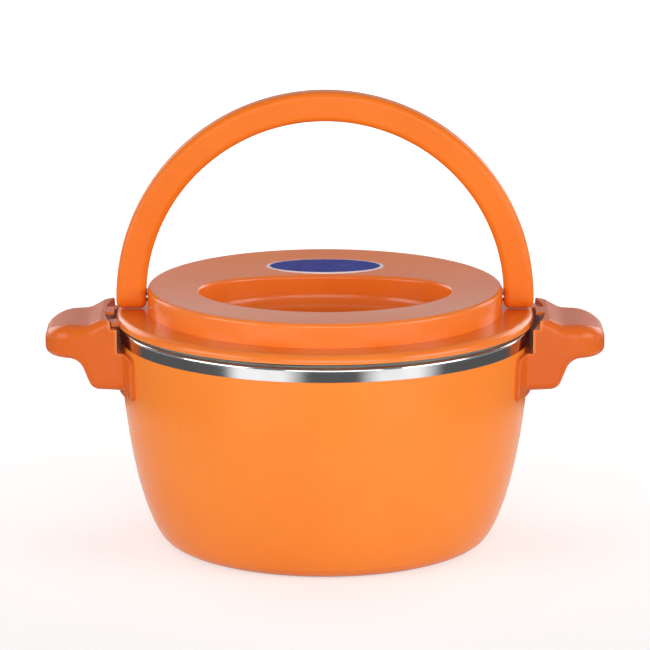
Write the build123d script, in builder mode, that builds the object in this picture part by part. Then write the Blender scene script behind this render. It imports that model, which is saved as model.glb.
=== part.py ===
from build123d import *
import os
from math import asin, atan2, cos, radians, sin, tan

# Insulated chapati casserole: a double-walled serving pot with two side handles,
# a twist-locked lift-off lid and a carrying bail that folds down onto the lid.
#
# Millimetres. The origin is the centre of the foot's underside, +Z is up,
# the side handles and the bail's pivots lie along X, and -Y is the front.
# Every section is drawn with its local x as the radius and its local y as the height.

# ---- Clearances ----
SEAT = 0.1               # between nested pieces of one assembly
LID_FLOAT = 0.3          # under the seal, and under the folded bail
PIVOT_CLEARANCE = 0.06   # radial, pivot pin in the bail
BAIL_SIDE_GAP = 0.7      # bail to the raised disc of the lid
HANDLE_GAP = 2.6         # lid flange to the handle's inner face
LUG_CLEARANCE = 0.4      # above and below a lid lug in its handle

# ---- Pot: outer shell ----
RIM_HEIGHT = 114.8       # top of the steel rim
BAND_HEIGHT = 7.4        # outer face of the rolled steel rim
BOWL_RADIUS = 105.0      # just below the steel band
BOWL_SPREAD = 29.2       # how far the bowl widens from its flat foot to the rim
BOWL_HEEL = 12.0         # radius between the foot and the wall
BOWL_HEEL_TURN = 56.5    # degrees that the heel turns before the wall starts
BOWL_RIM_LEAN = 3.0      # degrees that the wall leans in again at the rim
BOWL_FULLNESS = 0.7      # how long the wall keeps its direction at either end
SHELL_WALL = 2.2
FOOT_WIDTH = 6.8         # flat ring that the pot stands on
BASE_RECESS = 4.5        # height of the floor inside that ring
RECESS_DRAFT = 3.0
RECESS_ROUND = 1.2
FILLER_RADIUS = 8.0      # hole through which the insulation is foamed
CAP_LIP = 3.0
CAP_THICKNESS = 1.6

# ---- Pot: steel inner pot ----
STEEL = 0.6
JACKET_WIDTH = 15.0      # steel pot's mouth to the outside of the bowl
INNER_FLOOR_HEIGHT = 20.0
INNER_TAPER = 8.0        # how much narrower the floor is than the mouth
INNER_CORNER = 30.0
NECK_DEPTH = 18.8        # upright part of the wall, below the rim
NECK_BEND = 40.0
RIM_BEND = 3.0
BAND_BEND = 1.8
BAND_FLARE = 0.5         # how far the band bells out past the shell

# ---- Side handles ----
HANDLE_RISE = 6.0        # ridge above the steel rim
HANDLE_DEPTH = 36.4      # ridge down to the heel
HANDLE_LENGTH = 33.5     # inner face to the tip
HANDLE_ROOT_WIDTH = 58.0
HANDLE_TIP_WIDTH = 45.0
HANDLE_TIP_CORNER = 17.0
HANDLE_WALL = 2.8
HANDLE_SIDE_UPRIGHT = 0.01  # largest lean of a face that counts as a side
GRIP_DROP = 3.5          # ridge down to the flat of the grip
GRIP_DEPTH = 17.4        # thickness of the grip
GRIP_TIP_DROP = 4.6      # fall of the grip's upper face to the tip
GRIP_CROWN_LENGTH = 10.5  # distance from the tip at which it starts to fall
GRIP_CROWN = 24.0
GRIP_ROUND = 6.4         # rounding of the upper edges
GRIP_UNDER_ROUND = 4.4
THROAT_LENGTH = 15.4     # inner face to the throat under the grip
THROAT_ROUND = 8.0
HEEL_LENGTH = 9.0        # inner face to the lower corner
HEEL_ROUND = 6.0
RIDGE_RUN = 11.5         # inner face to the foot of the ridge's slope
RIDGE_SLOPE = 27.0       # degrees
RIDGE_ROUND = 10.0
PAD_ANGLE = 46.0         # saddle that spreads over the bowl
PAD_CORNER = 5.0
PAD_THICKNESS = 2.3
PAD_BELOW = 3.0          # under the heel
PAD_TO_BAND = 3.2
SCREW_DROP = 15.4        # steel band down to the screws
SCREW_ANGLE = 6.5        # degrees either side of the handle's middle
SCREW_RADIUS = 1.9
SCREW_HEAD_RADIUS = 4.0
SCREW_HEAD = 2.4
SCREW_HEAD_SEAT = 0.5    # head inside the shell's rim radius, since the wall still slopes
SCREW_LENGTH = 14.0
SCREW_BOSS_RADIUS = 4.6
PILOT_EXTRA = 1.0        # pilot hole beyond the screw's end

# ---- Lid ----
LID_GAP = 2.0            # steel rim to the lid's flange
FLANGE_HEIGHT = 4.6
FLANGE_OVERHANG = 2.5    # flange beyond the outside of the bowl
FLANGE_ROUND = 3.4
LEDGE_WIDTH = 16.3       # ledge round the raised disc, for the folded bail
DISC_HEIGHT = 12.2       # raised disc above the ledge
DISC_ROUND = 1.8
DISC_LAND = 3.2          # level ring round the dished face, with the rounding
DISH_DEPTH = 5.7         # the disc's face is dished like a saucer
LID_WALL = 2.2
WELL_END_MARGIN = 26.2   # ends of the well to the edge of the disc
WELL_SIDE_MARGIN = 48.2
WELL_DEPTH = 15.7        # below the middle of the dish
WELL_ROUND = 1.6
WELL_FLOOR_ROUND = 8.0
LUG_ANGLE = 9.5          # lid turn between unlocked and locked
LUG_WIDTH_ANGLE = 5.2
LUG_REACH = 4.0
LUG_THICKNESS = 1.9
HOOK_WIDTH_ANGLE = 6.4
HOOK_THICKNESS = 1.6
HOOK_REACH = 1.6
HOOK_ROOT = 1.5          # depth that the hook runs into the ridge
SHELF_WIDTH = 3.1
PLUG_CLEARANCE = 1.2     # lid plug to the steel pot's mouth
PLUG_DEPTH = 12.0        # below the steel rim
PLUG_ROUND = 4.0
PAN_WALL = 1.8
PAN_DISH = 2.0
PAN_DISH_MARGIN = 28.8   # raised middle of the pan to its side
LID_FILLER_RADIUS = 6.0
SEAL_OFFSET = 7.5        # middle of the seal beyond the steel pot's mouth
SEAL_WIDTH = 5.0
SEAL_ROUND = 0.8
SEAL_RIB = 1.2           # ribs that hold the seal under the pan's flange
SEAL_RIB_DROP = 0.8
BADGE_LENGTH = 62.0
BADGE_WIDTH = 24.6
BADGE_TO_WELL = 15.5     # middle of the badge behind the well's edge
BADGE_THICKNESS = 1.2
BADGE_RECESS = 0.5

# ---- Bail ----
BAIL_WIDTH = 15.4        # across the radius
BAIL_DEPTH = 12.0        # front to back
BAIL_EDGE = 3.2
PIN_RADIUS = 2.5
PIN_CHAMFER = 0.5
PIN_IN_BAIL = 10.0       # length pressed into each leg
PIN_IN_LID = 5.4         # length that turns in the lid's rim
PIN_BOSS_WALL = 2.4

# ---- Worked out from the sizes above ----
BAND_BOTTOM = RIM_HEIGHT - BAND_HEIGHT
SHELL_TOP = RIM_HEIGHT - STEEL - SEAT
SHELL_INSIDE = BOWL_RADIUS - SHELL_WALL
HEEL_START = BOWL_RADIUS - BOWL_SPREAD
RECESS_EDGE = HEEL_START - FOOT_WIDTH
MOUTH_RADIUS = BOWL_RADIUS - JACKET_WIDTH
INNER_FLOOR_EDGE = MOUTH_RADIUS - INNER_TAPER
NECK_HEIGHT = RIM_HEIGHT - NECK_DEPTH
FLANGE_BOTTOM = RIM_HEIGHT + LID_GAP
FLANGE_RADIUS = BOWL_RADIUS + FLANGE_OVERHANG
LEDGE_HEIGHT = FLANGE_BOTTOM + FLANGE_HEIGHT
DISC_RADIUS = FLANGE_RADIUS - LEDGE_WIDTH
DISC_TOP = LEDGE_HEIGHT + DISC_HEIGHT
DISH_EDGE = DISC_RADIUS - DISC_LAND
DISH_MIDDLE = DISC_TOP - DISH_DEPTH
DISH_SPHERE = (DISH_EDGE**2 + DISH_DEPTH**2) / (2 * DISH_DEPTH)
WELL_LENGTH = 2 * (DISC_RADIUS - WELL_END_MARGIN)
WELL_WIDTH = 2 * (DISC_RADIUS - WELL_SIDE_MARGIN)
WELL_FLOOR = DISH_MIDDLE - WELL_DEPTH
BADGE_OFFSET = WELL_WIDTH / 2 + BADGE_TO_WELL
BADGE_TILT = asin(BADGE_OFFSET / DISH_SPHERE)
PIVOT_HEIGHT = LEDGE_HEIGHT + LID_FLOAT + BAIL_DEPTH / 2
BAIL_INNER = DISC_RADIUS + BAIL_SIDE_GAP
BAIL_RADIUS = BAIL_INNER + BAIL_WIDTH / 2
HANDLE_TOP = RIM_HEIGHT + HANDLE_RISE
HANDLE_BOTTOM = HANDLE_TOP - HANDLE_DEPTH
HANDLE_INNER = FLANGE_RADIUS + HANDLE_GAP
HANDLE_REACH = HANDLE_INNER + HANDLE_LENGTH
GRIP_TOP = HANDLE_TOP - GRIP_DROP
GRIP_BOTTOM = GRIP_TOP - GRIP_DEPTH
PAD_TOP = BAND_BOTTOM - PAD_TO_BAND
PAD_BOTTOM = HANDLE_BOTTOM - PAD_BELOW
SCREW_HEIGHT = BAND_BOTTOM - SCREW_DROP
SCREW_HEAD_OUTER = SHELL_INSIDE - SCREW_HEAD_SEAT
SCREW_HEAD_INNER = SCREW_HEAD_OUTER - SCREW_HEAD
SCREW_END = SHELL_INSIDE + SCREW_LENGTH
SHELF_RADIUS = HANDLE_INNER + SHELF_WIDTH
HOOK_BOTTOM = HANDLE_TOP - HOOK_THICKNESS
LUG_TOP = HOOK_BOTTOM - LUG_CLEARANCE
LUG_BOTTOM = LUG_TOP - LUG_THICKNESS
SHELF_HEIGHT = LUG_BOTTOM - LUG_CLEARANCE
PAN_FLANGE_TOP = LEDGE_HEIGHT - LID_WALL - SEAT
PAN_FLANGE_BOTTOM = PAN_FLANGE_TOP - PAN_WALL
PAN_RADIUS = MOUTH_RADIUS - PLUG_CLEARANCE
PAN_BOTTOM = RIM_HEIGHT - PLUG_DEPTH
PAN_DISH_RADIUS = PAN_RADIUS - PAN_DISH_MARGIN
SEAL_RADIUS = MOUTH_RADIUS + SEAL_OFFSET
SEAL_BOTTOM = RIM_HEIGHT + LID_FLOAT
SEAL_TOP = PAN_FLANGE_BOTTOM - SEAT
PAN_INNER = PAN_RADIUS - PAN_WALL
LID_SIDE_INSIDE = DISC_RADIUS - LID_WALL
PIN_INNER_END = DISC_RADIUS - PIN_IN_LID
PIN_OUTER_END = BAIL_INNER + PIN_IN_BAIL
PIN_BOSS_RADIUS = PIN_RADIUS + PIVOT_CLEARANCE + PIN_BOSS_WALL
PIN_BOSS_END = PIN_INNER_END - LID_WALL
REACH = 2 * HANDLE_REACH  # larger than the whole casserole
HANDLE_SIDES = {"right": 0.0, "left": 180.0}


# ---- Helpers ----
def radial_plane(angle, radius, height):
    """Plane whose normal points away from the Z axis at an angle, radius and height."""
    direction = Vector(cos(radians(angle)), sin(radians(angle)), 0)
    origin = direction * radius + Vector(0, 0, height)
    return Plane(origin=origin, x_dir=(-direction.Y, direction.X, 0), z_dir=direction)


def resized(section, amount):
    """Half section grown (or shrunk) on every side, but still ending at the axis."""
    with BuildSketch() as whole:
        add(section)
        mirror(about=Plane.YZ)
        offset(amount=amount, kind=Kind.INTERSECTION)
        Rectangle(REACH, 2 * REACH, align=(Align.MIN, Align.CENTER), mode=Mode.INTERSECT)
    return whole.sketch


def turned(section):
    """Solid of revolution of a half section about the Z axis."""
    with BuildPart() as body:
        with BuildSketch(Plane.XZ):
            add(section)
        revolve(axis=Axis.Z)
    return body.part


def bowl_section(inset, top):
    """Half section of the outer bowl, moved in from its outside by an inset, up to a height."""
    slope = atan2(BASE_RECESS, RECESS_DRAFT)
    edge = RECESS_EDGE + inset * tan(slope / 2)
    rim = Vector(BOWL_RADIUS - inset, BAND_BOTTOM)
    rim_lean = Vector(-sin(radians(BOWL_RIM_LEAN)), cos(radians(BOWL_RIM_LEAN)))
    with BuildSketch() as section:
        with BuildLine():
            base = FilletPolyline(
                (0, BASE_RECESS + inset),
                (edge - RECESS_DRAFT, BASE_RECESS + inset),
                (edge, inset),
                (HEEL_START, inset),
                radius=RECESS_ROUND,
            )
            heel = JernArc(base @ 1, (1, 0), BOWL_HEEL - inset, BOWL_HEEL_TURN)
            pull = (rim - heel @ 1).length * BOWL_FULLNESS / 3
            wall = Bezier(heel @ 1, heel @ 1 + (heel % 1) * pull, rim - rim_lean * pull, rim)
            Polyline(wall @ 1, (rim.X, top), (0, top), base @ 0)
        make_face()
    return section.sketch


def inner_pot_section(outset, top):
    """Half section of the food space, grown by an outset, from its floor up to a height."""
    lean = atan2(MOUTH_RADIUS - INNER_FLOOR_EDGE, NECK_HEIGHT - INNER_FLOOR_HEIGHT)
    floor_height = INNER_FLOOR_HEIGHT - outset
    floor_edge = INNER_FLOOR_EDGE + outset * (1 / cos(lean) - tan(lean))
    neck_height = NECK_HEIGHT - outset * tan(lean / 2)
    with BuildSketch() as section:
        with BuildLine():
            wall = FilletPolyline(
                (0, floor_height),
                (floor_edge, floor_height),
                (MOUTH_RADIUS + outset, neck_height),
                (MOUTH_RADIUS + outset, top),
                radius=[INNER_CORNER + outset, NECK_BEND - outset],
            )
            Polyline(wall @ 1, (0, top), (0, floor_height))
        make_face()
    return section.sketch


def lid_section(bottom):
    """Half section of the lid's outside, from a given height up to its raised disc."""
    with BuildSketch() as section:
        with BuildLine():
            Polyline(
                (0, bottom),
                (FLANGE_RADIUS, bottom),
                (FLANGE_RADIUS, LEDGE_HEIGHT),
                (DISC_RADIUS, LEDGE_HEIGHT),
                (DISC_RADIUS, DISC_TOP),
                (DISH_EDGE, DISC_TOP),
            )
            dish = TangentArc((0, DISH_MIDDLE), (DISH_EDGE, DISC_TOP), tangent=(1, 0))
            Line(dish @ 0, (0, bottom))
        make_face()
        fillet(section.vertices().group_by(Axis.X)[-1].sort_by(Axis.Y)[-1], FLANGE_ROUND)
        fillet(section.vertices().group_by(Axis.Y)[-1].sort_by(Axis.X)[-1], DISC_ROUND)
    return section.sketch


def ellipse_column(length, width, low, high, floor_round):
    """Upright elliptical column with a rounded lower edge."""
    with BuildPart() as column:
        with BuildSketch(Plane.XY.offset(low)):
            Ellipse(length / 2, width / 2)
        extrude(amount=high - low)
        fillet(column.edges().group_by(Axis.Z)[0], floor_round)
    return column.part


def screw_cylinder(angle, radius, inner, outer):
    """Radial cylinder at screw height between two distances from the axis."""
    with BuildPart() as cylinder:
        with BuildSketch(radial_plane(angle, inner, SCREW_HEIGHT)):
            Circle(radius)
        extrude(amount=outer - inner)
    return cylinder.part


def pivot_cylinder(side_angle, radius, inner, outer):
    """Cylinder along the bail's pivot axis between two distances from the middle."""
    with BuildPart() as cylinder:
        with BuildSketch(radial_plane(side_angle, inner, PIVOT_HEIGHT)):
            Circle(radius)
        extrude(amount=outer - inner)
    return cylinder.part


def ring_sector(angle, width_angle, inner, outer, low, high):
    """Block that follows the lid's edge: a sector of a ring centred on an angle."""
    start = Plane.XZ.rotated((0, 0, angle - width_angle / 2))
    with BuildPart() as sector:
        with BuildSketch(start):
            with Locations(((inner + outer) / 2, (low + high) / 2)):
                Rectangle(outer - inner, high - low)
        revolve(axis=Axis.Z, revolution_arc=width_angle)
    return sector.part


def finish(builder, name):
    """Label a finished piece and write it under its own name."""
    builder.part.label = name
    export_step(builder.part, f"parts/{name}.step")


os.makedirs("parts", exist_ok=True)

bowl_outside = turned(bowl_section(0, SHELL_TOP))
bowl_cavity = turned(bowl_section(SHELL_WALL, REACH))
screw_angles = [side + turn for side in HANDLE_SIDES.values() for turn in (-SCREW_ANGLE, SCREW_ANGLE)]

# ---- Outer shell: moulded bowl on a flat foot, its base recessed round the foaming hole ----
with BuildPart() as outer_shell:
    add(bowl_outside)
    add(bowl_cavity, mode=Mode.SUBTRACT)
    rim_edges = outer_shell.faces().sort_by(Axis.Z)[-1].edges()
    fillet(rim_edges.sort_by(SortBy.LENGTH)[-1], BAND_BEND)
    with Locations((0, 0, BASE_RECESS)):
        Hole(FILLER_RADIUS)
    for hole_angle in screw_angles:
        add(
            screw_cylinder(hole_angle, SCREW_RADIUS + SEAT, SHELL_INSIDE - SHELL_WALL, HANDLE_REACH),
            mode=Mode.SUBTRACT,
        )
finish(outer_shell, "outer_shell")

# ---- Inner pot: deep-drawn steel, its rim folded over the shell as the bright band ----
with BuildPart() as inner_pot:
    with BuildSketch(Plane.XZ) as steel_section:
        with BuildLine():
            steel_line = FilletPolyline(
                (0, INNER_FLOOR_HEIGHT),
                (INNER_FLOOR_EDGE, INNER_FLOOR_HEIGHT),
                (MOUTH_RADIUS, NECK_HEIGHT),
                (MOUTH_RADIUS, RIM_HEIGHT),
                (BOWL_RADIUS + SEAT + STEEL + BAND_FLARE, RIM_HEIGHT),
                (BOWL_RADIUS + SEAT + STEEL, BAND_BOTTOM),
                radius=[INNER_CORNER, NECK_BEND, RIM_BEND, BAND_BEND],
            )
            offset(amount=STEEL, side=Side.RIGHT)
        make_face()
    revolve(axis=Axis.Z)
finish(inner_pot, "inner_pot")

# ---- Insulation between the shell and the steel, and the cap of its foaming hole ----
with BuildPart() as pot_foam:
    add(turned(bowl_section(SHELL_WALL + SEAT, SHELL_TOP)))
    add(turned(inner_pot_section(STEEL + SEAT, REACH)), mode=Mode.SUBTRACT)
    foam_rim = pot_foam.faces().sort_by(Axis.Z)[-1].edges()
    fillet(foam_rim.sort_by(SortBy.LENGTH)[0], RIM_BEND - STEEL - SEAT)
    for hole_angle in screw_angles:
        add(
            screw_cylinder(
                hole_angle,
                SCREW_HEAD_RADIUS + SEAT,
                SCREW_HEAD_INNER - SEAT,
                HANDLE_REACH,
            ),
            mode=Mode.SUBTRACT,
        )
finish(pot_foam, "pot_foam")

with BuildPart() as base_cap:
    with BuildSketch(Plane.XY.offset(BASE_RECESS - SEAT - CAP_THICKNESS)):
        Circle(FILLER_RADIUS + CAP_LIP)
    extrude(amount=CAP_THICKNESS)
    fillet(base_cap.edges().group_by(Axis.Z)[0], CAP_THICKNESS / 2)
    with BuildSketch(Plane.XY.offset(BASE_RECESS - SEAT)):
        Circle(FILLER_RADIUS - SEAT)
    extrude(amount=SEAT + SHELL_WALL)
finish(base_cap, "base_cap")


# ---- Side handles: cored mouldings that hook over the lid's lugs ----
def handle_side_section(inset):
    """Side view of a handle, moved in by an inset: heel, throat, crowned grip and sloping ridge."""
    tip = HANDLE_REACH - inset
    top = GRIP_TOP - inset
    under = GRIP_BOTTOM + inset
    heel = HANDLE_BOTTOM + inset
    fall = atan2(GRIP_TIP_DROP, GRIP_CROWN_LENGTH)
    climb = radians(RIDGE_SLOPE)
    crown = HANDLE_REACH - GRIP_CROWN_LENGTH - inset * tan(fall / 2)
    tip_top = GRIP_TOP - GRIP_TIP_DROP - inset * (1 / cos(fall) - tan(fall))
    ridge_foot = HANDLE_INNER + RIDGE_RUN - inset * tan(climb / 2)
    ridge_back = top + (ridge_foot - MOUTH_RADIUS) * tan(climb)
    with BuildSketch() as section:
        with BuildLine():
            lower = FilletPolyline(
                (MOUTH_RADIUS, heel),
                (HANDLE_INNER + HEEL_LENGTH - inset, heel),
                (HANDLE_INNER + THROAT_LENGTH - inset, under),
                (tip, under),
                radius=[HEEL_ROUND - inset, THROAT_ROUND + inset],
            )
            upper = FilletPolyline(
                (tip, tip_top),
                (crown, top),
                (ridge_foot, top),
                (MOUTH_RADIUS, ridge_back),
                radius=[GRIP_CROWN - inset, RIDGE_ROUND + inset],
            )
            Line(lower @ 1, upper @ 0)
            Line(upper @ 1, lower @ 0)
        make_face()
    return section.sketch


def handle_plan_section(inset):
    """Plan of a handle, moved in by an inset: sides that taper to a rounded tip."""
    tip = HANDLE_TIP_WIDTH / 2 - inset
    taper = (HANDLE_ROOT_WIDTH - HANDLE_TIP_WIDTH) / (2 * HANDLE_LENGTH)
    back = tip + taper * (HANDLE_REACH - MOUTH_RADIUS)
    reach = HANDLE_REACH - inset
    with BuildSketch() as section:
        with BuildLine():
            Polyline((MOUTH_RADIUS, -back), (reach, -tip), (reach, tip), (MOUTH_RADIUS, back), close=True)
        make_face()
        fillet(section.vertices().group_by(Axis.X)[-1], HANDLE_TIP_CORNER - inset)
    return section.sketch


def handle_shape(inset):
    """Cushion-shaped grip that runs back into the pot, moved in from its outside by an inset."""
    with BuildPart() as shape:
        with BuildSketch(Plane.XZ):
            add(handle_side_section(inset))
        extrude(amount=HANDLE_ROOT_WIDTH, both=True)
        with BuildSketch():
            add(handle_plan_section(inset))
        extrude(amount=REACH, mode=Mode.INTERSECT)
        sides = shape.faces().filter_by(lambda face: abs(face.normal_at().Z) < HANDLE_SIDE_UPRIGHT)
        outer_sides = sides.filter_by(lambda face: face.center().X > MOUTH_RADIUS + HANDLE_WALL)
        long_edges = outer_sides.edges().filter_by(Axis.Z, reverse=True)
        long_edges = long_edges.filter_by(lambda edge: edge.center().X > MOUTH_RADIUS + SEAT)
        upper_edges = long_edges.filter_by(lambda edge: edge.center().Z > GRIP_TOP - GRIP_DEPTH / 2)
        lower_edges = long_edges.filter_by(lambda edge: edge.center().Z < GRIP_TOP - GRIP_DEPTH / 2)
        fillet(lower_edges, GRIP_UNDER_ROUND - inset)
        fillet(upper_edges, GRIP_ROUND - inset)
    return shape.part


def handle_core():
    """Hollow in a handle, open at the bowl, with a rib and two screw bosses left in it."""
    with BuildPart() as core:
        add(handle_shape(HANDLE_WALL))
        with Locations((HANDLE_REACH, 0, SHELF_HEIGHT)):
            Box(
                2 * (HANDLE_REACH - SHELF_RADIUS - HANDLE_WALL),
                HANDLE_WALL,
                HANDLE_REACH,
                mode=Mode.SUBTRACT,
            )
        for radius, height in ((HANDLE_INNER, PAD_TOP), (SHELF_RADIUS, SHELF_HEIGHT)):
            with BuildSketch(Plane.XY.offset(height - HANDLE_WALL)):
                Circle(radius + HANDLE_WALL)
            extrude(amount=REACH, mode=Mode.SUBTRACT)
        for turn in (-SCREW_ANGLE, SCREW_ANGLE):
            add(screw_cylinder(turn, SCREW_BOSS_RADIUS, MOUTH_RADIUS, HANDLE_REACH), mode=Mode.SUBTRACT)
    return core.part


def handle_saddle():
    """Plate with rounded corners that follows the bowl under a handle."""
    with BuildPart() as saddle:
        add(ring_sector(0, PAD_ANGLE, MOUTH_RADIUS, HANDLE_REACH, PAD_BOTTOM, PAD_TOP))
        corners = saddle.edges().filter_by(GeomType.LINE).filter_by(Axis.Z, reverse=True)
        fillet(corners, PAD_CORNER)
        add(turned(bowl_section(-PAD_THICKNESS, HANDLE_TOP)), mode=Mode.INTERSECT)
    return saddle.part


def handle_blank():
    """Right-hand handle: grip, saddle, lug shelf with its hook, hollow and pilot holes."""
    with BuildPart() as handle:
        add(handle_shape(0))
        for radius, height in ((REACH, HANDLE_TOP), (HANDLE_INNER, PAD_TOP)):
            with BuildSketch(Plane.XY.offset(height)):
                Circle(radius)
            extrude(amount=REACH, mode=Mode.SUBTRACT)
        add(handle_saddle())
        add(handle_core(), mode=Mode.SUBTRACT)
        with BuildSketch(Plane.XY.offset(SHELF_HEIGHT)):
            Circle(SHELF_RADIUS)
        extrude(amount=HANDLE_TOP, mode=Mode.SUBTRACT)
        hook_inner = HANDLE_INNER - HOOK_REACH
        hook_outer = SHELF_RADIUS + HOOK_ROOT
        add(ring_sector(0, HOOK_WIDTH_ANGLE, hook_inner, hook_outer, HOOK_BOTTOM, HANDLE_TOP))
        add(turned(bowl_section(-SEAT, HANDLE_TOP)), mode=Mode.SUBTRACT)
        for turn in (-SCREW_ANGLE, SCREW_ANGLE):
            pilot_end = SCREW_END + PILOT_EXTRA
            add(screw_cylinder(turn, SCREW_RADIUS + SEAT, MOUTH_RADIUS, pilot_end), mode=Mode.SUBTRACT)
    return handle.part


right_handle = handle_blank()
for side, side_angle in HANDLE_SIDES.items():
    with BuildPart() as handle:
        add(right_handle, rotation=(0, 0, side_angle))
    finish(handle, f"handle_{side}")

    with BuildPart() as handle_screws:
        for turn in (side_angle - SCREW_ANGLE, side_angle + SCREW_ANGLE):
            add(screw_cylinder(turn, SCREW_HEAD_RADIUS, SCREW_HEAD_INNER, SCREW_HEAD_OUTER))
            add(screw_cylinder(turn, SCREW_RADIUS, SCREW_HEAD_INNER, SCREW_END))
    finish(handle_screws, f"handle_screws_{side}")

# ---- Lid cover: flange, ledge for the bail, dished disc with its oval well, two lugs ----
well_inside = ellipse_column(WELL_LENGTH, WELL_WIDTH, WELL_FLOOR, DISC_TOP, WELL_FLOOR_ROUND)
badge_height = DISH_MIDDLE + DISH_SPHERE * (1 - cos(BADGE_TILT))
badge_plane = Plane(
    origin=(0, BADGE_OFFSET, badge_height),
    x_dir=(1, 0, 0),
    z_dir=(0, -sin(BADGE_TILT), cos(BADGE_TILT)),
).offset(-BADGE_RECESS)

with BuildPart() as lid_inserts:
    add(
        ellipse_column(
            WELL_LENGTH + 2 * LID_WALL,
            WELL_WIDTH + 2 * LID_WALL,
            WELL_FLOOR - LID_WALL,
            DISC_TOP,
            WELL_FLOOR_ROUND + LID_WALL,
        )
    )
    for side_angle in HANDLE_SIDES.values():
        add(pivot_cylinder(side_angle, PIN_BOSS_RADIUS, PIN_BOSS_END, DISC_RADIUS - LID_WALL / 2))
    add(turned(lid_section(PAN_BOTTOM)), mode=Mode.INTERSECT)

with BuildPart() as lid_cover:
    add(turned(lid_section(FLANGE_BOTTOM)))
    add(turned(resized(lid_section(FLANGE_BOTTOM - LID_WALL), -LID_WALL)), mode=Mode.SUBTRACT)
    add(lid_inserts.part)
    add(well_inside, mode=Mode.SUBTRACT)
    dished_face = lid_cover.faces().filter_by(GeomType.SPHERE).sort_by(Axis.Z)[-1]
    fillet(dished_face.edges().filter_by(GeomType.BSPLINE), WELL_ROUND)
    for side_angle in HANDLE_SIDES.values():
        lug_angle = side_angle + LUG_ANGLE
        lug_inner = FLANGE_RADIUS - LID_WALL
        lug_outer = FLANGE_RADIUS + LUG_REACH
        add(ring_sector(lug_angle, LUG_WIDTH_ANGLE, lug_inner, lug_outer, LUG_BOTTOM, LUG_TOP))
        add(
            pivot_cylinder(
                side_angle,
                PIN_RADIUS + PIVOT_CLEARANCE,
                PIN_INNER_END - SEAT,
                BAIL_INNER,
            ),
            mode=Mode.SUBTRACT,
        )
    with BuildSketch(badge_plane):
        Ellipse(BADGE_LENGTH / 2 + SEAT, BADGE_WIDTH / 2 + SEAT)
    extrude(amount=2 * BADGE_THICKNESS, mode=Mode.SUBTRACT)
finish(lid_cover, "lid_cover")

# ---- Badge: a plain oval plate in its recess behind the well ----
with BuildPart() as badge:
    with BuildSketch(badge_plane.offset(SEAT)):
        Ellipse(BADGE_LENGTH / 2, BADGE_WIDTH / 2)
    extrude(amount=BADGE_THICKNESS)
    fillet(badge.edges().group_by(Axis.Z)[-1], BADGE_RECESS / 2)
finish(badge, "badge")

# ---- Lid pan: the inner skin, a plug that drops into the steel mouth ----
with BuildPart() as lid_pan:
    with BuildSketch(Plane.XZ):
        with BuildLine():
            pan_line = FilletPolyline(
                (0, PAN_BOTTOM + PAN_DISH),
                (PAN_DISH_RADIUS, PAN_BOTTOM + PAN_DISH),
                (PAN_DISH_RADIUS + 2 * PAN_DISH, PAN_BOTTOM),
                (PAN_RADIUS, PAN_BOTTOM),
                (PAN_RADIUS, PAN_FLANGE_BOTTOM),
                (FLANGE_RADIUS - LID_WALL - SEAT, PAN_FLANGE_BOTTOM),
                radius=[PAN_DISH, PAN_DISH, PLUG_ROUND, PAN_WALL / 2],
            )
            offset(amount=PAN_WALL, side=Side.LEFT)
        make_face()
        for rib_side in (-1, 1):
            rib_radius = SEAL_RADIUS + rib_side * (SEAL_WIDTH / 2 + SEAT + SEAL_RIB / 2)
            with Locations((rib_radius, PAN_FLANGE_BOTTOM)):
                Rectangle(SEAL_RIB, 2 * SEAL_RIB_DROP)
    revolve(axis=Axis.Z)
    flange_edge = lid_pan.edges().group_by(Axis.Z)[-1].sort_by(SortBy.LENGTH)[-1]
    fillet(flange_edge, FLANGE_ROUND - LID_WALL)
    with Locations((0, 0, PAN_BOTTOM + PAN_DISH)):
        Hole(LID_FILLER_RADIUS)
finish(lid_pan, "lid_pan")

with BuildPart() as lid_cap:
    with BuildSketch(Plane.XY.offset(PAN_BOTTOM + PAN_DISH - SEAT - CAP_THICKNESS)):
        Circle(LID_FILLER_RADIUS + CAP_LIP)
    extrude(amount=CAP_THICKNESS)
    fillet(lid_cap.edges().group_by(Axis.Z)[0], CAP_THICKNESS / 2)
    with BuildSketch(Plane.XY.offset(PAN_BOTTOM + PAN_DISH - SEAT)):
        Circle(LID_FILLER_RADIUS - SEAT)
    extrude(amount=SEAT + PAN_WALL)
finish(lid_cap, "lid_cap")

# ---- Lid insulation: fills the pan and the raised disc around the well ----
with BuildPart() as lid_foam:
    add(turned(resized(lid_section(PAN_BOTTOM), -LID_WALL - SEAT)))
    with BuildSketch(Plane.XY.offset(PAN_FLANGE_TOP + SEAT)):
        Circle(LID_SIDE_INSIDE - SEAT)
    extrude(amount=DISC_HEIGHT + LID_WALL, mode=Mode.INTERSECT)
    foam_bottom = PAN_BOTTOM + PAN_DISH + PAN_WALL + SEAT
    with BuildSketch(Plane.XY.offset(foam_bottom)):
        Circle(PAN_INNER - SEAT)
    extrude(amount=LEDGE_HEIGHT - foam_bottom)
    add(
        ellipse_column(
            WELL_LENGTH + 2 * LID_WALL + 2 * SEAT,
            WELL_WIDTH + 2 * LID_WALL + 2 * SEAT,
            WELL_FLOOR - LID_WALL - SEAT,
            DISC_TOP,
            WELL_FLOOR_ROUND + LID_WALL + SEAT,
        ),
        mode=Mode.SUBTRACT,
    )
    for side_angle in HANDLE_SIDES.values():
        boss_space = pivot_cylinder(
            side_angle, PIN_BOSS_RADIUS + SEAT, PIN_BOSS_END - SEAT, DISC_RADIUS
        )
        add(boss_space, mode=Mode.SUBTRACT)
finish(lid_foam, "lid_foam")

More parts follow.
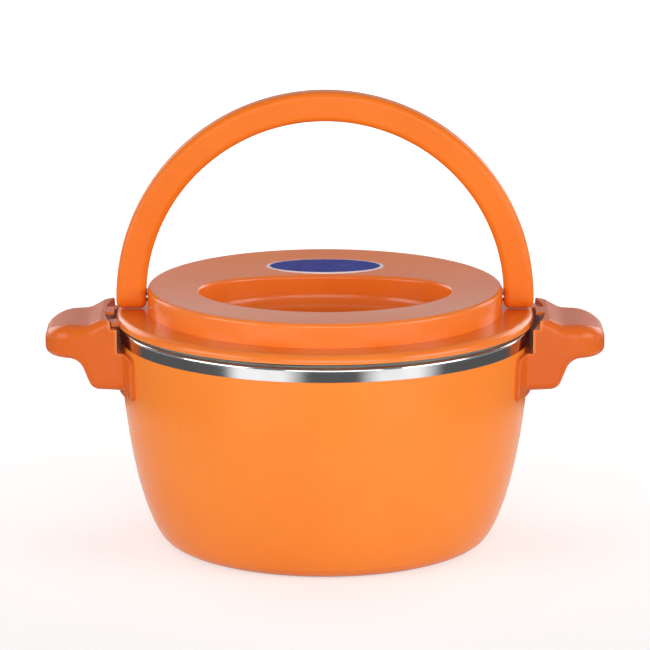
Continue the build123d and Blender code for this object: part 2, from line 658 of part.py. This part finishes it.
# ---- Lid seal: silicone ring between the pan's flange and the steel rim ----
with BuildPart() as lid_seal:
    with BuildSketch(Plane.XZ) as seal_section:
        with Locations((SEAL_RADIUS, (SEAL_BOTTOM + SEAL_TOP) / 2)):
            Rectangle(SEAL_WIDTH, SEAL_TOP - SEAL_BOTTOM)
        fillet(seal_section.vertices().group_by(Axis.Y)[0], SEAL_ROUND)
    revolve(axis=Axis.Z)
finish(lid_seal, "lid_seal")

# ---- Bail: arch with full-round feet that turn on two pins ----
with BuildPart() as bail:
    with BuildSketch(Plane.XY.offset(PIVOT_HEIGHT)):
        with Locations((BAIL_RADIUS, 0)):
            RectangleRounded(BAIL_WIDTH, BAIL_DEPTH, BAIL_EDGE)
    revolve(axis=Axis((0, 0, PIVOT_HEIGHT), (0, -1, 0)), revolution_arc=180)
    for leg_side in (-1, 1):
        with BuildSketch(Plane.XY.offset(PIVOT_HEIGHT)):
            with Locations((leg_side * BAIL_RADIUS, 0)):
                RectangleRounded(BAIL_WIDTH, BAIL_DEPTH, BAIL_EDGE)
            Rectangle(REACH, REACH, align=(Align.CENTER, Align.MIN), mode=Mode.INTERSECT)
        revolve(axis=Axis((0, 0, PIVOT_HEIGHT), (-1, 0, 0)), revolution_arc=180)
    for side_angle in HANDLE_SIDES.values():
        add(
            pivot_cylinder(side_angle, PIN_RADIUS + SEAT, DISC_RADIUS, PIN_OUTER_END + SEAT),
            mode=Mode.SUBTRACT,
        )
finish(bail, "bail")

for side, side_angle in HANDLE_SIDES.items():
    with BuildPart() as pivot_pin:
        add(pivot_cylinder(side_angle, PIN_RADIUS, PIN_INNER_END, PIN_OUTER_END))
        chamfer(pivot_pin.edges().filter_by(GeomType.CIRCLE), PIN_CHAMFER)
    finish(pivot_pin, f"pivot_pin_{side}")
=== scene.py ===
# %% [markdown]
# # Insulated chapati casserole
# The exact solids of the casserole come in as a fixed frame. This lesson gives each of them the finish
# of the real moulded plastic, steel or foam, and then builds a small studio around it. No shape is
# added: the bowl, lid, handles and bail are complete as solids, so the looks are all in the finishes.

# %% Load the frame
import bpy
import bmesh
from math import cos, radians, sin
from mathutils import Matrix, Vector


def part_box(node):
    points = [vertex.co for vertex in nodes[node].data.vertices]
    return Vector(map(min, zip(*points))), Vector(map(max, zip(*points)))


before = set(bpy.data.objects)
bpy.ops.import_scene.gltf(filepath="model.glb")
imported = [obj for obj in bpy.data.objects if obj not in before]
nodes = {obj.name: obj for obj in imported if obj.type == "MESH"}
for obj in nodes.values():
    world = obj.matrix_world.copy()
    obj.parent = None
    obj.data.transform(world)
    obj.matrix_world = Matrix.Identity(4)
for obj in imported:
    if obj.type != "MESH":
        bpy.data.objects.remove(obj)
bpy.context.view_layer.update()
print("nodes:", sorted(nodes))

# %% [markdown]
# ## A finish
# Every surface here is a node tree. It could be wired by hand in the shader editor, but a script can be
# read, changed and run again. The same few moves come back in each tree, so a small class holds the
# material, its tree and its Principled shader. Patterns read Object coordinates rather than UVs: the
# solids have none, and a pattern that is fixed in the solid stays put when the lid is lifted.

# %% Start a finish
class Finish:
    """One material, with its node tree, its Principled shader and the object's own coordinates."""

    def __init__(self, name):
        self.material = bpy.data.materials.new(name)
        self.material.use_nodes = True
        self.tree = self.material.node_tree
        self.shader = self.tree.nodes["Principled BSDF"]
        self.place = self.node("ShaderNodeTexCoord").outputs["Object"]

    def node(self, kind, **settings):
        made = self.tree.nodes.new(kind)
        for setting, value in settings.items():
            setattr(made, setting, value)
        return made

    def link(self, output, target):
        self.tree.links.new(output, target)

    def drive(self, socket, output):
        """Let a pattern drive one of the shader's sockets."""
        self.link(output, self.shader.inputs[socket])

    def fix(self, **values):
        """Put constants straight on the shader's own sockets."""
        for socket, value in values.items():
            self.shader.inputs[socket.replace("_", " ")].default_value = value


# %% [markdown]
# ## Patterns
# No real surface is even, and noise is a cheap way to show that. Object coordinates are in metres, so a
# scale of 1000 draws grains of about 1 mm. Scaling the axes apart before the noise draws its grains out
# into streaks, which is how rubbing marks look.

# %% Noise and streaks
def noise(finish, scale, detail=3.0, source=None):
    texture = finish.node("ShaderNodeTexNoise")
    texture.inputs["Scale"].default_value = scale
    texture.inputs["Detail"].default_value = detail
    finish.link(source or finish.place, texture.inputs["Vector"])
    return texture.outputs["Fac"]


def stretched(finish, scale):
    """Coordinates with each axis scaled on its own."""
    mapping = finish.node("ShaderNodeMapping")
    mapping.inputs["Scale"].default_value = scale
    finish.link(finish.place, mapping.inputs["Vector"])
    return mapping.outputs["Vector"]


# %% [markdown]
# Raw noise stays near 0.5 almost everywhere. A Map Range node takes the span of it that matters, spreads
# that over the levels that are wanted and clamps the rest. That turns a grey haze into clear patches
# with soft edges.

# %% Ranges and patches
def ranged(finish, value, span, levels=(0.0, 1.0)):
    """Value with its span moved to the given levels, and clamped there."""
    ranger = finish.node("ShaderNodeMapRange")
    for socket, number in zip(("From Min", "From Max", "To Min", "To Max"), (*span, *levels)):
        ranger.inputs[socket].default_value = number
    finish.link(value, ranger.inputs["Value"])
    return ranger.outputs["Result"]


def patches(finish, scale, detail, span, levels=(0.0, 1.0)):
    """Noise, with one span of it spread over the given levels."""
    return ranged(finish, noise(finish, scale, detail), span, levels)


# %% [markdown]
# Patterns are weakened by multiplying and laid over each other by adding. Each such step is a Math node,
# and either side of it may be a plain number.

# %% Arithmetic
def arithmetic(finish, operation, first, second=0.0):
    """One step of arithmetic, where either side may be an output or a number."""
    step = finish.node("ShaderNodeMath", operation=operation)
    for socket, side in zip(step.inputs, (first, second)):
        if isinstance(side, (int, float)):
            socket.default_value = side
        else:
            finish.link(side, socket)
    return step.outputs["Value"]


# %% [markdown]
# Colours meet in a Mix node. It could also overlay or screen them as layers, but a plain blend of two
# chosen shades can't stray outside them.

# %% Colour blend
def colour_sockets(sockets):
    """The Mix node has a set of sockets for each kind of value, and these are the colour ones."""
    return [socket for socket in sockets if socket.type == "RGBA"]


def blend(finish, amount, first, second):
    """Colour that goes from first to second as amount goes from 0 to 1."""
    mixer = finish.node("ShaderNodeMix", data_type="RGBA")
    finish.link(amount, mixer.inputs["Factor"])
    for socket, colour in zip(colour_sockets(mixer.inputs), (first, second)):
        if isinstance(colour, tuple):
            socket.default_value = (*colour, 1.0)
        else:
            finish.link(colour, socket)
    return colour_sockets(mixer.outputs)[0]


# %% [markdown]
# ## Wear along edges
# Hands and shelves rub a moulding on its outward edges first. Those edges could be painted by hand, or
# found from the mesh's pointiness, but that depends on how finely the mesh is cut. Ambient occlusion
# turned inside out doesn't: it shoots short rays into the solid, and near an edge many of them come out.

# %% Edge mask
EDGE_REACH = 0.0016
EDGE_RAYS = 8
EDGE_SPAN = (0.55, 0.95)


def edge_mask(finish):
    """1 on outward edges, 0 on flat and hollow places."""
    inside = finish.node("ShaderNodeAmbientOcclusion", inside=True, only_local=True, samples=EDGE_RAYS)
    inside.inputs["Distance"].default_value = EDGE_REACH
    return ranged(finish, inside.outputs["AO"], EDGE_SPAN, (1.0, 0.0))


print("edge mask looks", round(EDGE_REACH * 1000, 2), "mm into the solid")

# %% [markdown]
# ## Moulded orange plastic: colour
# The shell, lid, handles and bail are injection moulded polypropylene. It seems to be one even orange,
# but the melt flows in soft clouds, a few specks stay darker and the edges rub pale. An image could hold
# all that, but noise needs no unwrapping and has no seams. Large soft patches and small hard ones blend
# two shades of the same orange, and the edge mask adds the pale one.

# %% Colour of the orange plastic
SOFT_CLOUDS = (0.35, 0.65)
FEW_SPECKS = (0.62, 0.74)
SPECK_SHARE = 0.18
RUBBED_ORANGE = (1.0, 0.36, 0.09)


def colour_orange(finish, colour, deep, rubbed):
    """Clouds and specks of the deep shade, and a paler one where the edges are rubbed."""
    clouds = patches(finish, scale=14.0, detail=4.0, span=SOFT_CLOUDS)
    specks = patches(finish, scale=420.0, detail=2.0, span=FEW_SPECKS)
    body = blend(finish, clouds, deep, colour)
    speckled = blend(finish, arithmetic(finish, "MULTIPLY", specks, SPECK_SHARE), body, deep)
    finish.drive("Base Color", blend(finish, rubbed, speckled, RUBBED_ORANGE))


# %% [markdown]
# ## Moulded orange plastic: rubbing
# Use leaves fine marks that scatter the light but hardly change the colour, so they go in the roughness.
# Noise that is drawn out makes streaks of them, and the worn edges are duller still.

# %% Rubbing of the orange plastic
SCRATCH_SCALE = 60.0
SCRATCH_STRETCH = (1.0, 5.0, 3.0)
SCRATCH_DULLING = 0.08
EDGE_DULLING = 0.4


def scuff_orange(finish, roughness, rubbed):
    """Rougher along fine streaks, and on the rubbed edges."""
    streaks = stretched(finish, SCRATCH_STRETCH)
    scratches = noise(finish, SCRATCH_SCALE, detail=5.0, source=streaks)
    scuffed = ranged(finish, scratches, (0.45, 0.75), (roughness, roughness + SCRATCH_DULLING))
    dulled = arithmetic(finish, "MULTIPLY", rubbed, EDGE_DULLING)
    finish.drive("Roughness", arithmetic(finish, "ADD", scuffed, dulled))


# %% [markdown]
# ## Moulded orange plastic: ripple
# The mould leaves a faint ripple like orange peel, which shows where a highlight runs over it. It could
# be real displacement, but at a few hundredths of a millimetre a bump, which only tilts the light, looks
# the same and needs no finer mesh.

# %% Relief
def relief(finish, height, depth):
    """Bump of a real depth, in metres."""
    bump = finish.node("ShaderNodeBump")
    bump.inputs["Distance"].default_value = depth
    bump.inputs["Strength"].default_value = 1.0
    finish.link(height, bump.inputs["Height"])
    finish.link(bump.outputs["Normal"], finish.shader.inputs["Normal"])


# %% Ripple of the orange plastic
PEEL_SCALE = 240.0
PEEL_DEPTH = 0.00003
GRAIN_SCALE = 1500.0
GRAIN_SHARE = 0.06


def ripple_orange(finish):
    """A soft ripple of orange peel, with a very fine grain on top."""
    peel = noise(finish, PEEL_SCALE, detail=1.0)
    grain = arithmetic(finish, "MULTIPLY", noise(finish, GRAIN_SCALE, detail=1.0), GRAIN_SHARE)
    relief(finish, arithmetic(finish, "ADD", peel, grain), PEEL_DEPTH)


print("orange peel: about", round(1000 / PEEL_SCALE, 1), "mm wide,", round(PEEL_DEPTH * 1000, 3), "mm deep")

# %% [markdown]
# ## Dressing the solids
# Each solid comes with one plain colour in its material slot. Its mesh has to stay as it is, but the
# slot is free, so the finish goes in there and nothing else is touched.

# %% Dress a node
def dress(finish, *names):
    """Give one finish to several nodes, in all of their slots."""
    for name in names:
        materials = nodes[name].data.materials
        materials.clear()
        materials.append(finish.material)
    print(finish.material.name, "->", ", ".join(names))


# %% [markdown]
# ## Four oranges
# The shell, lid, handles and bail are moulded apart, and each gets an orange of its own. The shell is the
# lightest and the handles are the deepest: these differences are painted light and shade, the bowl that
# faces the lamps painted lightest and the handles' level faces painted deepest. The lid has the highest
# gloss, because its flat ring mirrors the room most. One function makes them all, and a table holds what
# differs.

# %% Four oranges
PLASTIC_IOR = 1.49
EDGE_WEAR = 0.35
# The colours per part are painted light and shade: lighter on the well-lit shell, deeper on the handles.
ORANGES_WITH_PAINTED_SHADE = (
    # name, colour, deep colour, roughness, gloss, nodes
    ("shell_plastic", (0.94, 0.258, 0.036), (0.91, 0.234, 0.030), 0.20, 0.22,
     ("outer_shell", "base_cap")),
    ("lid_plastic", (0.88, 0.205, 0.024), (0.82, 0.175, 0.017), 0.20, 0.42,
     ("lid_cover",)),
    ("handle_plastic", (0.74, 0.140, 0.015), (0.68, 0.120, 0.012), 0.24, 0.26,
     ("handle_left", "handle_right")),
    ("bail_plastic", (0.86, 0.186, 0.014), (0.80, 0.162, 0.011), 0.24, 0.20,
     ("bail",)),
)


def moulded_plastic(name, colour, deep, roughness, gloss):
    finish = Finish(name)
    rubbed = arithmetic(finish, "MULTIPLY", edge_mask(finish), EDGE_WEAR)
    colour_orange(finish, colour, deep, rubbed)
    scuff_orange(finish, roughness, rubbed)
    ripple_orange(finish)
    finish.fix(IOR=PLASTIC_IOR, Specular_IOR_Level=gloss)
    finish.fix(Subsurface_Weight=0.04, Subsurface_Scale=0.002)
    return finish


for name, colour, deep, roughness, gloss, pieces in ORANGES_WITH_PAINTED_SHADE:
    dress(moulded_plastic(name, colour, deep, roughness, gloss), *pieces)

# %% [markdown]
# ## Polished steel
# The inner pot is pressed from sheet and polished while it spins, so its polishing lines run round the
# axis. An anisotropic highlight would give the stretch of such lines, but not the lines. A noise that
# reads only the distance from the axis and the height is constant along every such circle, and draws
# the lines on the band, the wall and the floor alike.

# %% Distance from the axis
def split_apart(finish, vector):
    parts = finish.node("ShaderNodeSeparateXYZ")
    finish.link(vector, parts.inputs["Vector"])
    return parts.outputs


def across_squared(finish, parts):
    """The square of the distance from the Z axis."""
    squares = [arithmetic(finish, "MULTIPLY", parts[axis], parts[axis]) for axis in "XY"]
    return arithmetic(finish, "ADD", *squares)


def round_the_axis(finish):
    """Coordinates that change only with the distance from the axis and with the height."""
    parts = split_apart(finish, finish.place)
    circle = finish.node("ShaderNodeCombineXYZ")
    finish.link(arithmetic(finish, "SQRT", across_squared(finish, parts)), circle.inputs["X"])
    finish.link(parts["Z"], circle.inputs["Y"])
    return circle.outputs["Vector"]


# %% [markdown]
# The lines change the roughness and a very small relief, and smears from hands and cloths dull them in
# places. The colour stays a plain grey, because polished steel takes its looks from what it mirrors. The
# screws and pins are duller and have finer lines.

# %% Spun steel
POT_STEEL = (0.60, 0.60, 0.60)
POT_SMEARED = (0.50, 0.50, 0.50)
SCREW_STEEL = (0.5, 0.5, 0.5)
SCREW_SMEARED = (0.4, 0.4, 0.39)
LINE_DEPTH = 0.000004
LINE_DULLING = 0.1
SMEAR_DULLING = 0.07


def spun_steel(name, colour, dull, roughness, line_scale):
    finish = Finish(name)
    lines = noise(finish, line_scale, source=round_the_axis(finish))
    smears = noise(finish, scale=38.0, detail=4.0)
    finish.drive("Base Color", blend(finish, ranged(finish, smears, (0.4, 0.7)), colour, dull))
    polish = ranged(finish, lines, (0.35, 0.7), (roughness, roughness + LINE_DULLING))
    marks = ranged(finish, smears, (0.5, 0.75), (0.0, SMEAR_DULLING))
    finish.drive("Roughness", arithmetic(finish, "ADD", polish, marks))
    relief(finish, lines, LINE_DEPTH)
    finish.fix(Metallic=1.0)
    return finish


polished = spun_steel("polished_steel", POT_STEEL, POT_SMEARED, roughness=0.09, line_scale=2600.0)
dress(polished, "inner_pot")
plain = spun_steel("fastener_steel", SCREW_STEEL, SCREW_SMEARED, roughness=0.28, line_scale=4000.0)
dress(plain, "handle_screws_left", "handle_screws_right", "pivot_pin_left", "pivot_pin_right")

# %% [markdown]
# ## Natural plastic
# The lid's inner skin and its cap are polypropylene without dye. It is cloudy, duller than the outside
# and lets a little light in. Real transmission would be slow and would show the foam behind it, so a
# little subsurface scattering gives the same milky look.

# %% Natural plastic
NATURAL_LIGHT = (0.83, 0.80, 0.72)
NATURAL_DEEP = (0.74, 0.70, 0.61)
RUB_STRETCH = (1.0, 5.0, 2.0)


def natural_plastic():
    finish = Finish("natural_plastic")
    clouds = patches(finish, scale=18.0, detail=4.0, span=SOFT_CLOUDS)
    finish.drive("Base Color", blend(finish, clouds, NATURAL_DEEP, NATURAL_LIGHT))
    rubs = noise(finish, scale=70.0, detail=5.0, source=stretched(finish, RUB_STRETCH))
    finish.drive("Roughness", ranged(finish, rubs, (0.4, 0.7), (0.38, 0.55)))
    relief(finish, noise(finish, scale=700.0), depth=0.00005)
    finish.fix(IOR=PLASTIC_IOR, Subsurface_Weight=0.1, Subsurface_Scale=0.003)
    return finish


dress(natural_plastic(), "lid_pan", "lid_cap")

# %% [markdown]
# ## Foam
# Rigid polyurethane fills the walls. It is a mass of small cells, pale yellow with darker cell walls.
# Noise has no cells, but a Voronoi pattern is made of them, and its distance to the nearest edge draws
# the walls, both in the colour and as relief.

# %% Rigid foam
CELL_SCALE = 900.0
CELL_DEPTH = 0.0004
CELL_INSIDE = (0.84, 0.74, 0.46)
CELL_WALL = (0.62, 0.50, 0.24)


def rigid_foam():
    finish = Finish("rigid_foam")
    cells = finish.node("ShaderNodeTexVoronoi", feature="DISTANCE_TO_EDGE")
    cells.inputs["Scale"].default_value = CELL_SCALE
    finish.link(finish.place, cells.inputs["Vector"])
    off_the_walls = ranged(finish, cells.outputs["Distance"], (0.02, 0.25))
    finish.drive("Base Color", blend(finish, off_the_walls, CELL_WALL, CELL_INSIDE))
    dullness = patches(finish, scale=40.0, detail=3.0, span=(0.4, 0.6), levels=(0.78, 0.92))
    finish.drive("Roughness", dullness)
    relief(finish, off_the_walls, CELL_DEPTH)
    return finish


dress(rigid_foam(), "pot_foam", "lid_foam")

# %% [markdown]
# ## Silicone seal
# The ring between lid and steel is soft silicone. Its surface is matt and even, and light enters it, so
# it looks waxy. A stronger subsurface weight than the plastics have gives that.

# %% Soft silicone
SILICONE_LIGHT = (0.76, 0.76, 0.73)
SILICONE_DEEP = (0.66, 0.66, 0.63)


def soft_silicone():
    finish = Finish("silicone")
    tint = patches(finish, scale=60.0, detail=3.0, span=(0.4, 0.6))
    finish.drive("Base Color", blend(finish, tint, SILICONE_DEEP, SILICONE_LIGHT))
    dullness = patches(finish, scale=900.0, detail=3.0, span=(0.4, 0.6), levels=(0.42, 0.55))
    finish.drive("Roughness", dullness)
    relief(finish, noise(finish, scale=1500.0), depth=0.00003)
    finish.fix(Subsurface_Weight=0.3, Subsurface_Scale=0.002)
    return finish


dress(soft_silicone(), "lid_seal")

# %% [markdown]
# ## Badge
# The plate behind the well is a thin label: deep blue lacquer inside a pale rim, with nothing written
# on it. The rim could be a piece of its own, but on such a label it is only a printed line. A Mapping
# node moves the pattern's centre to the middle of the plate and scales its two half axes to 1. The
# coordinate's length is then 1 all along the edge of the ellipse, and the rim is a simple range of it.

# %% Badge lacquer
RIM_SPAN = (0.86, 0.90)
RIM_DEPTH = 0.00008
RIM_PALE = (0.86, 0.80, 0.80)
BLUE_LIGHT = (0.017, 0.031, 0.34)
BLUE_DEEP = (0.011, 0.020, 0.26)
DIMPLE_SHARE = 0.1


def badge_lacquer(low, high):
    finish = Finish("badge_lacquer")
    half = (high - low) / 2
    centred = finish.node("ShaderNodeMapping", vector_type="TEXTURE")
    centred.inputs["Location"].default_value = (low + high) / 2
    centred.inputs["Scale"].default_value = (half.x, half.y, 1.0)
    finish.link(finish.place, centred.inputs["Vector"])
    reach = across_squared(finish, split_apart(finish, centred.outputs["Vector"]))
    rim = ranged(finish, reach, RIM_SPAN)
    clouds = patches(finish, scale=120.0, detail=4.0, span=SOFT_CLOUDS)
    blue = blend(finish, clouds, BLUE_DEEP, BLUE_LIGHT)
    finish.drive("Base Color", blend(finish, rim, blue, RIM_PALE))
    dullness = patches(finish, scale=300.0, detail=4.0, span=(0.45, 0.7), levels=(0.22, 0.36))
    finish.drive("Roughness", dullness)
    dimples = arithmetic(finish, "MULTIPLY", noise(finish, scale=500.0), DIMPLE_SHARE)
    relief(finish, arithmetic(finish, "ADD", rim, dimples), RIM_DEPTH)
    finish.fix(Specular_IOR_Level=0.05)
    return finish


dress(badge_lacquer(*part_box("badge")), "badge")

# %% [markdown]
# ## Pushing edges
# The studio's shapes grow from edges: an edge that is extruded and moved leaves a face behind it. The
# operator gives back everything that it made, so a helper moves the new corners and returns the new
# edges, ready for the next push.

# %% Push edges out
def pushed(mesh, edges, offset):
    """Extrude edges along offset, and return the edges at the far side."""
    grown = bmesh.ops.extrude_edge_only(mesh, edges=edges)["geom"]
    corners = [item for item in grown if isinstance(item, bmesh.types.BMVert)]
    bmesh.ops.translate(mesh, vec=offset, verts=corners)
    return [item for item in grown if isinstance(item, bmesh.types.BMEdge)]


# %% [markdown]
# ## Floor and backdrop
# The casserole stands on a pale floor that runs up into a wall. Two planes would leave a line where
# they meet, so the floor's back edge is spun through a quarter turn and then pushed straight up: one
# surface, with no corner to see.

# %% Shape of the backdrop
FLOOR_WIDTH = 14.0
FLOOR_FRONT = -6.0
COVE_START = 2.5
COVE_RADIUS = 1.5
COVE_STEPS = 24
WALL_HEIGHT = 5.0
MERGE_DISTANCE = 0.0001


def cove_mesh():
    mesh = bmesh.new()
    corners = [mesh.verts.new((side * FLOOR_WIDTH / 2, FLOOR_FRONT, 0.0)) for side in (-1, 1)]
    floor_front = mesh.edges.new(corners)
    floor_back = pushed(mesh, [floor_front], (0.0, COVE_START - FLOOR_FRONT, 0.0))
    turned_up = bmesh.ops.spin(
        mesh, geom=floor_back + [corner for edge in floor_back for corner in edge.verts],
        cent=(0.0, COVE_START, COVE_RADIUS), axis=(1.0, 0.0, 0.0),
        angle=radians(90), steps=COVE_STEPS, use_duplicate=False,
    )["geom_last"]
    cove_top = [item for item in turned_up if isinstance(item, bmesh.types.BMEdge)]
    pushed(mesh, cove_top, (0.0, 0.0, WALL_HEIGHT))
    bmesh.ops.remove_doubles(mesh, verts=mesh.verts, dist=MERGE_DISTANCE)
    bmesh.ops.recalc_face_normals(mesh, faces=mesh.faces)
    return mesh


cove = cove_mesh()
print("cove faces:", len(cove.faces))

# %% [markdown]
# ## Backdrop paper
# A white background could come from more light, but that would burn out the casserole too. So the paper
# is a plain matt grey that takes the shadow, and it glows a little towards the camera. The glow rises
# further back, where it brings the paper up to white, and stays low round the casserole, where a shadow
# has to show. Mirrored rays see some of the glow as well, so the steel and the lid show a pale room.

# %% Backdrop paper
PAPER_GREY = (0.62, 0.62, 0.62, 1.0)
FLOOR_GLOW = 0.48
WALL_GLOW = 0.88
GLOW_RISES = (-0.2, 1.0)
GLOSS_GLOW = 0.38


def backdrop_paper():
    finish = Finish("backdrop_paper")
    finish.fix(Base_Color=PAPER_GREY, Roughness=0.9, Specular_IOR_Level=0.1)
    relief(finish, noise(finish, scale=40.0), depth=0.0002)
    rays = finish.node("ShaderNodeLightPath").outputs
    further_back = split_apart(finish, finish.place)["Y"]
    seen_glow = ranged(finish, further_back, GLOW_RISES, (FLOOR_GLOW, WALL_GLOW))
    to_camera = arithmetic(finish, "MULTIPLY", rays["Is Camera Ray"], seen_glow)
    to_gloss = arithmetic(finish, "MULTIPLY", rays["Is Glossy Ray"], GLOSS_GLOW)
    glow = finish.node("ShaderNodeEmission")
    finish.link(arithmetic(finish, "ADD", to_camera, to_gloss), glow.inputs["Strength"])
    both = finish.node("ShaderNodeAddShader")
    finish.link(finish.shader.outputs["BSDF"], both.inputs[0])
    finish.link(glow.outputs["Emission"], both.inputs[1])
    finish.link(both.outputs["Shader"], finish.tree.nodes["Material Output"].inputs["Surface"])
    return finish


paper = backdrop_paper()
print("paper glow:", FLOOR_GLOW, "near,", WALL_GLOW, "far,", GLOSS_GLOW, "mirrored")

# %% [markdown]
# ## Backdrop in the scene
# A bmesh is a draft. It becomes part of the scene when it is written into a mesh and an object carries
# that mesh.

# %% Backdrop in the scene
def in_scene(mesh, name, finish):
    """Turn a bmesh into an object with one finish, and put it in the scene."""
    data = bpy.data.meshes.new(name)
    mesh.to_mesh(data)
    mesh.free()
    data.materials.append(finish.material)
    made = bpy.data.objects.new(name, data)
    bpy.context.scene.collection.objects.link(made)
    print(name, "faces:", len(data.polygons))
    return made


backdrop = in_scene(cove, "backdrop", paper)
backdrop.data.polygons.foreach_set("use_smooth", [True] * len(backdrop.data.polygons))

# %% [markdown]
# ## Soft boxes
# Large area lamps give soft shadows and broad highlights, where point lamps would give hard ones. Three
# stand low, in front and at both sides, so the bowl takes most of the light and the level faces of the
# lid and handles stay deeper in colour. Two weaker ones light the back, clear of the line in which the
# flat lid would mirror them to the camera, and a weak one hangs overhead.

# %% Soft boxes
LAMPS_AIM = Vector((0.0, 0.0, 0.09))
SOFT_BOXES = (
    # name, azimuth from the camera's side, distance, height, width, tall, watts
    ("box_front", 5.0, 2.1, 0.50, 2.0, 1.0, 21.0),
    ("box_left", -62.0, 1.8, 0.50, 1.3, 0.9, 15.0),
    ("box_right", 62.0, 1.8, 0.50, 1.3, 0.9, 16.0),
    ("box_back_left", -138.0, 1.9, 0.70, 1.3, 0.9, 9.0),
    ("box_back_right", 138.0, 1.9, 0.70, 1.3, 0.9, 9.0),
    ("box_top", 180.0, 0.4, 2.4, 1.8, 1.6, 4.5),
)


def soft_box(name, azimuth, distance, height, width, tall, watts):
    lamp = bpy.data.lights.new(name, "AREA")
    lamp.shape = "RECTANGLE"
    lamp.size = width
    lamp.size_y = tall
    lamp.energy = watts
    box = bpy.data.objects.new(name, lamp)
    angle = radians(azimuth)
    box.location = (distance * sin(angle), -distance * cos(angle), height)
    box.rotation_euler = (LAMPS_AIM - box.location).to_track_quat("-Z", "Y").to_euler()
    bpy.context.scene.collection.objects.link(box)
    print(name, tuple(round(value, 2) for value in box.location))


for soft_box_sizes in SOFT_BOXES:
    soft_box(*soft_box_sizes)

# %% [markdown]
# ## World
# A dim white world fills the shadows without flattening them. The camera alone sees it at full white,
# through Is Camera Ray, in case it looks past the backdrop.

# %% World
WHITE = (1.0, 1.0, 1.0, 1.0)
WORLD_FILL = 0.24
WORLD_SEEN = 1.0

world = bpy.data.worlds.new("studio")
bpy.context.scene.world = world
world.use_nodes = True
world_tree = world.node_tree
background = world_tree.nodes["Background"]
background.inputs["Color"].default_value = WHITE
world_rays = world_tree.nodes.new("ShaderNodeLightPath")
world_level = world_tree.nodes.new("ShaderNodeMapRange")
world_tree.links.new(world_rays.outputs["Is Camera Ray"], world_level.inputs["Value"])
world_level.inputs["To Min"].default_value = WORLD_FILL
world_level.inputs["To Max"].default_value = WORLD_SEEN
world_tree.links.new(world_level.outputs["Result"], background.inputs["Strength"])
bpy.context.scene.view_settings.view_transform = "Standard"
print("world:", WORLD_FILL, "as light,", WORLD_SEEN, "to the camera")

# %% [markdown]
# ## Ring card for the steel
# Polished steel shows what stands in front of it. Seen from a little above, the upright band mirrors a
# low ring around the pot, where the floor alone would leave it an even grey. Studios put cards there.
# So a dark card rings the pot, with a white patch on either side of the middle: they draw the two bright
# strips and the grey between them. A patch is a range of the angle round the axis, so its ends fade as
# a soft box does.

# %% Glow of the ring card
BLACK = (0.0, 0.0, 0.0, 1.0)
RING_GREY = 0.13
RING_WHITE = 1.5
WHITE_PATCHES = (
    # azimuths from the camera's side, where a patch starts, is full, starts to fade and ends
    (-49.0, -42.0, -18.0, -8.0),
    (15.0, 25.0, 45.0, 58.0),
)


def ring_glow():
    finish = Finish("ring_card")
    parts = split_apart(finish, finish.place)
    towards_camera = arithmetic(finish, "MULTIPLY", parts["Y"], -1.0)
    angle = arithmetic(finish, "ARCTAN2", parts["X"], towards_camera)
    lit = []
    for start, full, fading, end in WHITE_PATCHES:
        rise = ranged(finish, angle, (radians(start), radians(full)))
        fall = ranged(finish, angle, (radians(fading), radians(end)), (1.0, 0.0))
        lit.append(arithmetic(finish, "MULTIPLY", rise, fall))
    white = arithmetic(finish, "ADD", *lit)
    finish.drive("Emission Strength", ranged(finish, white, (0.0, 1.0), (RING_GREY, RING_WHITE)))
    finish.fix(Base_Color=BLACK, Emission_Color=WHITE, Specular_IOR_Level=0.0)
    return finish


card = ring_glow()
print("ring card glow:", RING_GREY, "between", len(WHITE_PATCHES), "patches of", RING_WHITE)

# %% [markdown]
# The card is a circle, extruded upwards. Only mirrored rays see it: it shows in reflections, casts no
# shadow, and the camera looks through it.

# %% Ring card
RING_RADIUS = 0.30
RING_HEIGHT = 0.085
RING_SIDES = 96

ring_mesh = bmesh.new()
bmesh.ops.create_circle(ring_mesh, segments=RING_SIDES, radius=RING_RADIUS)
pushed(ring_mesh, ring_mesh.edges, (0.0, 0.0, RING_HEIGHT))
ring = in_scene(ring_mesh, "ring_card", card)
for ray in ("camera", "diffuse", "transmission", "volume_scatter", "shadow"):
    setattr(ring, f"visible_{ray}", False)

# %% [markdown]
# ## Camera
# A long lens from over two metres away looks down on the middle of the casserole at about thirteen
# degrees. A short lens close by would fill the picture just as well, but from so far the sides stay
# almost parallel, which keeps the round forms calm. The lens follows from the width that has to be seen.

# %% Camera
CAMERA_PLACE = Vector((0.0, -2.258, 0.630))
CAMERA_AIM = Vector((0.0, 0.0, 0.1125))
SEEN_WIDTH = 0.335

sight = CAMERA_AIM - CAMERA_PLACE
lens = bpy.data.cameras.new("camera")
lens.lens = lens.sensor_width * sight.length / SEEN_WIDTH
camera = bpy.data.objects.new("camera", lens)
camera.location = CAMERA_PLACE
camera.rotation_euler = sight.to_track_quat("-Z", "Y").to_euler()
bpy.context.scene.collection.objects.link(camera)
bpy.context.scene.camera = camera
print("lens:", round(lens.lens, 1), "mm")
